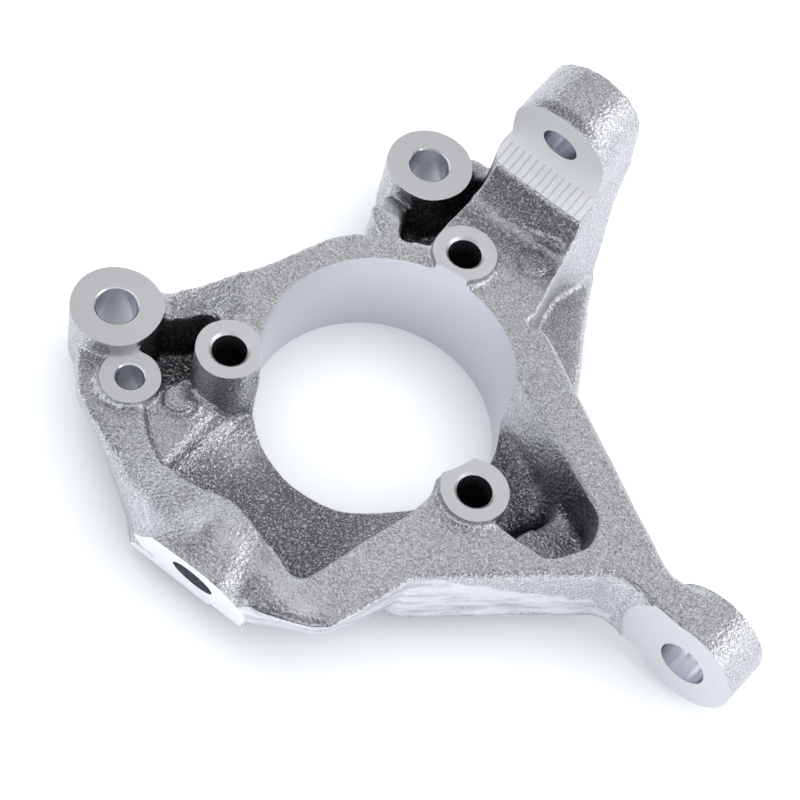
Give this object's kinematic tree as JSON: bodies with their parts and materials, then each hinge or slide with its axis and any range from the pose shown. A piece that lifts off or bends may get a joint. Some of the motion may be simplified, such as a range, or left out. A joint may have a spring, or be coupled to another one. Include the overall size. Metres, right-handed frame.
{
  "type": "steering knuckle",
  "caption": "Cast iron front steering knuckle with bearing bore, bearing bolt bosses, caliper ears, two ball-joint eyes and a tie-rod arm.",
  "frame": {"origin": "on the wheel-bearing axis, in the outboard hub face", "axes": "+Z inboard along the bearing axis, +Y towards the upper ball-joint eye, +X towards the tie-rod eye"},
  "size_m": [0.2675, 0.2353, 0.098],
  "materials": {
    "iron": "as cast, with bright machined seats and bores"
  },
  "bodies": {
    "root": {"steering_knuckle": "iron"}
  },
  "joints": []
}
